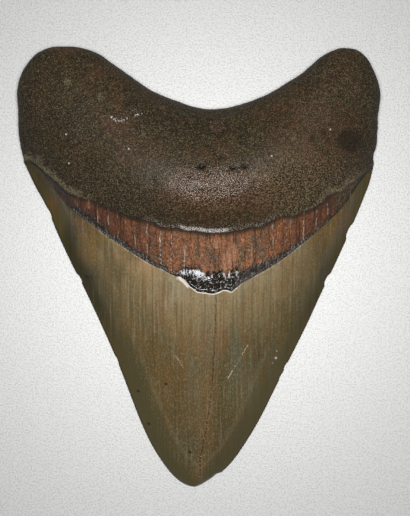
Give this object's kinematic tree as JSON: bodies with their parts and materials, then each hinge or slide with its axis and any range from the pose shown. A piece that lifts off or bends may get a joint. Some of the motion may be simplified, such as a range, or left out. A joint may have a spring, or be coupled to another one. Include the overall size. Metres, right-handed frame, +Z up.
{
  "type": "megalodon tooth",
  "caption": "Triangular fossil shark tooth with a thick forked root and a domed, sharp-edged crown, lying on its flat side.",
  "frame": {"origin": "on the surface that the tooth rests on, under the middle of its box", "axes": "+Z up, out of the domed lingual face; +Y from the crown's tip towards the root; +X to the right as seen from above with the root away from the viewer"},
  "size_m": [0.0978, 0.1188, 0.0252],
  "materials": {
    "fossil": "mineralised tooth: rough dark brown root, orange-brown band under it, and glossy olive-brown enamel with fine streaks on the crown"
  },
  "bodies": {
    "root": {"tooth": "fossil"}
  },
  "joints": []
}
